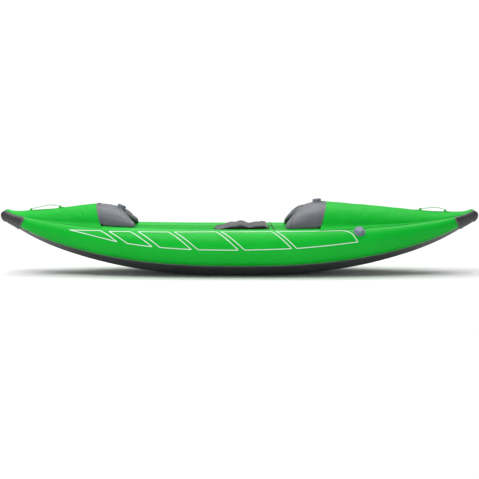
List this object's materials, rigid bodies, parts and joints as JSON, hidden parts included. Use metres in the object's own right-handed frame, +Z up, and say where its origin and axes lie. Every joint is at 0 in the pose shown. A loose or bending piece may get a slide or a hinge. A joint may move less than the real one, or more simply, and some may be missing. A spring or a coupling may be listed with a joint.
{
  "type": "inflatable kayak",
  "caption": "Decked one-person inflatable kayak with two side air tubes, drop-stitch floor, raised splash hoods, folded seat and carry handles",
  "frame": {"origin": "on the ground under the middle of the hull's bounding box", "axes": "+X to the bow, +Y to port, +Z up"},
  "size_m": [3.7212, 0.8918, 0.5816],
  "materials": {
    "tube_fabric": "coated PVC fabric, satin",
    "deck_fabric": "coated fabric, satin",
    "hood_fabric": "grey coated fabric",
    "hull_fabric": "dark grey PVC fabric",
    "floor_fabric": "drop-stitch PVC",
    "cap_rubber": "black moulded rubber",
    "green_webbing": "woven webbing",
    "black_webbing": "woven webbing",
    "seat_fabric": "woven nylon",
    "black_plastic": "moulded",
    "valve_plastic": "moulded grey plastic",
    "steel": "stainless"
  },
  "bodies": {
    "hull": {"starboard_air_tube": "tube_fabric", "port_air_tube": "tube_fabric", "drop_stitch_floor": "floor_fabric", "hull_bottom_skin": "hull_fabric", "bow_nose_cap": "cap_rubber", "stern_nose_cap": "cap_rubber", "bow_deck": "deck_fabric", "stern_deck": "deck_fabric", "bow_splash_hood": "hood_fabric", "stern_splash_hood": "hood_fabric", "bow_handle_patches": "deck_fabric", "stern_handle_patches": "deck_fabric", "seat_ring_patches": "tube_fabric", "seat_base": "seat_fabric", "seat_hinge_webbing": "black_webbing", "starboard_tube_valve_body": "valve_plastic", "starboard_tube_valve_nut": "valve_plastic", "starboard_tube_valve_spring": "steel", "port_tube_valve_body": "valve_plastic", "port_tube_valve_nut": "valve_plastic", "port_tube_valve_spring": "steel", "bow_hood_valve_body": "valve_plastic", "bow_hood_valve_nut": "valve_plastic", "bow_hood_valve_spring": "steel", "stern_hood_valve_body": "valve_plastic", "stern_hood_valve_nut": "valve_plastic", "stern_hood_valve_spring": "steel", "floor_valve_body": "valve_plastic", "floor_valve_nut": "valve_plastic", "floor_valve_spring": "steel"},
    "bow_carry_handle_loop": {"bow_carry_handle": "green_webbing"},
    "stern_carry_handle_loop": {"stern_carry_handle": "green_webbing"},
    "backrest": {"seat_backrest": "seat_fabric"},
    "port_strap": {"port_seat_strap": "black_webbing", "port_strap_buckle": "black_plastic"},
    "port_hook": {"port_snap_hook": "steel"},
    "port_rear_seat_ring_swinging": {"port_rear_seat_ring": "steel"},
    "port_front_seat_ring_swinging": {"port_front_seat_ring": "steel"},
    "starboard_strap": {"starboard_seat_strap": "black_webbing", "starboard_strap_buckle": "black_plastic"},
    "starboard_hook": {"starboard_snap_hook": "steel"},
    "starboard_rear_seat_ring_swinging": {"starboard_rear_seat_ring": "steel"},
    "starboard_front_seat_ring_swinging": {"starboard_front_seat_ring": "steel"},
    "starboard_tube_plunger": {"starboard_tube_valve_plunger": "black_plastic"},
    "starboard_tube_cap": {"starboard_tube_valve_cap": "valve_plastic"},
    "port_tube_plunger": {"port_tube_valve_plunger": "black_plastic"},
    "port_tube_cap": {"port_tube_valve_cap": "valve_plastic"},
    "bow_hood_plunger": {"bow_hood_valve_plunger": "black_plastic"},
    "bow_hood_cap": {"bow_hood_valve_cap": "valve_plastic"},
    "stern_hood_plunger": {"stern_hood_valve_plunger": "black_plastic"},
    "stern_hood_cap": {"stern_hood_valve_cap": "valve_plastic"},
    "floor_plunger": {"floor_valve_plunger": "black_plastic"},
    "floor_cap": {"floor_valve_cap": "valve_plastic"}
  },
  "joints": [
    {"name": "bow_handle_swing", "type": "hinge", "parent": "hull", "child": "bow_carry_handle_loop", "pos_m": [1.416, 0, 0.49958], "axis": [0.9983, 0, -0.0585], "range_deg": [-40, 40]},
    {"name": "stern_handle_swing", "type": "hinge", "parent": "hull", "child": "stern_carry_handle_loop", "pos_m": [-1.632, 0, 0.49713], "axis": [0.9954, 0, 0.0959], "range_deg": [-40, 40]},
    {"name": "backrest_fold", "type": "hinge", "parent": "hull", "child": "backrest", "pos_m": [-0.203, 0, 0.347], "axis": [0, 1, 0], "range_deg": [-100, 0]},
    {"name": "port_strap_lift", "type": "hinge", "parent": "hull", "child": "port_strap", "pos_m": [0.228, 0, 0.312], "axis": [0, 1, 0], "range_deg": [0, 60]},
    {"name": "port_hook_swing", "type": "hinge", "parent": "port_strap", "child": "port_hook", "pos_m": [0.2685, 0.105, 0.335], "axis": [0, 1, 0], "range_deg": [-30, 40]},
    {"name": "port_rear_seat_ring_swing", "type": "hinge", "parent": "hull", "child": "port_rear_seat_ring_swinging", "pos_m": [-0.33, 0.16129, 0.27027], "axis": [1, 0, 0], "range_deg": [-60, 0]},
    {"name": "port_front_seat_ring_swing", "type": "hinge", "parent": "hull", "child": "port_front_seat_ring_swinging", "pos_m": [0.33, 0.16129, 0.27027], "axis": [1, 0, 0], "range_deg": [-60, 0]},
    {"name": "starboard_strap_lift", "type": "hinge", "parent": "hull", "child": "starboard_strap", "pos_m": [0.228, 0, 0.312], "axis": [0, 1, 0], "range_deg": [0, 60]},
    {"name": "starboard_hook_swing", "type": "hinge", "parent": "starboard_strap", "child": "starboard_hook", "pos_m": [0.2685, -0.105, 0.335], "axis": [0, 1, 0], "range_deg": [-30, 40]},
    {"name": "starboard_rear_seat_ring_swing", "type": "hinge", "parent": "hull", "child": "starboard_rear_seat_ring_swinging", "pos_m": [-0.33, -0.16129, 0.27027], "axis": [1, 0, 0], "range_deg": [0, 60]},
    {"name": "starboard_front_seat_ring_swing", "type": "hinge", "parent": "hull", "child": "starboard_front_seat_ring_swinging", "pos_m": [0.33, -0.16129, 0.27027], "axis": [1, 0, 0], "range_deg": [0, 60]},
    {"name": "starboard_tube_plunger_press", "type": "slide", "parent": "hull", "child": "starboard_tube_plunger", "axis": [-0.068, 0.6279, -0.7753], "range_m": [0, 0.005], "stiffness_N_per_m": 300, "springref_m": -0.001, "deforming": ["starboard_tube_valve_spring"]},
    {"name": "starboard_tube_cap_open", "type": "hinge", "parent": "hull", "child": "starboard_tube_cap", "pos_m": [0.87949, -0.32902, 0.3584], "axis": [-0.0299, -0.7781, -0.6274], "range_deg": [0, 100]},
    {"name": "port_tube_plunger_press", "type": "slide", "parent": "hull", "child": "port_tube_plunger", "axis": [-0.068, -0.6279, -0.7753], "range_m": [0, 0.005], "stiffness_N_per_m": 300, "springref_m": -0.001, "deforming": ["port_tube_valve_spring"]},
    {"name": "port_tube_cap_open", "type": "hinge", "parent": "hull", "child": "port_tube_cap", "pos_m": [0.87949, 0.32902, 0.3584], "axis": [0.0299, -0.7781, 0.6274], "range_deg": [0, 100]},
    {"name": "bow_hood_plunger_press", "type": "slide", "parent": "hull", "child": "bow_hood_plunger", "axis": [0.103, 0, -0.9947], "range_m": [0, 0.005], "stiffness_N_per_m": 300, "springref_m": -0.001, "deforming": ["bow_hood_valve_spring"]},
    {"name": "bow_hood_cap_open", "type": "hinge", "parent": "hull", "child": "bow_hood_cap", "pos_m": [0.60542, -0.04, 0.55769], "axis": [0.9947, 0, 0.103], "range_deg": [0, 100]},
    {"name": "stern_hood_plunger_press", "type": "slide", "parent": "hull", "child": "stern_hood_plunger", "axis": [-0.3985, 0, -0.9172], "range_m": [0, 0.005], "stiffness_N_per_m": 300, "springref_m": -0.001, "deforming": ["stern_hood_valve_spring"]},
    {"name": "stern_hood_cap_open", "type": "hinge", "parent": "hull", "child": "stern_hood_cap", "pos_m": [-0.92577, -0.04, 0.50955], "axis": [0.9172, 0, -0.3985], "range_deg": [0, 100]},
    {"name": "floor_plunger_press", "type": "slide", "parent": "hull", "child": "floor_plunger", "axis": [0, 0, -1], "range_m": [0, 0.005], "stiffness_N_per_m": 300, "springref_m": -0.001, "deforming": ["floor_valve_spring"]},
    {"name": "floor_cap_open", "type": "hinge", "parent": "hull", "child": "floor_cap", "pos_m": [-0.43, -0.04, 0.11886], "axis": [1, 0, 0], "range_deg": [0, 100]}
  ]
}
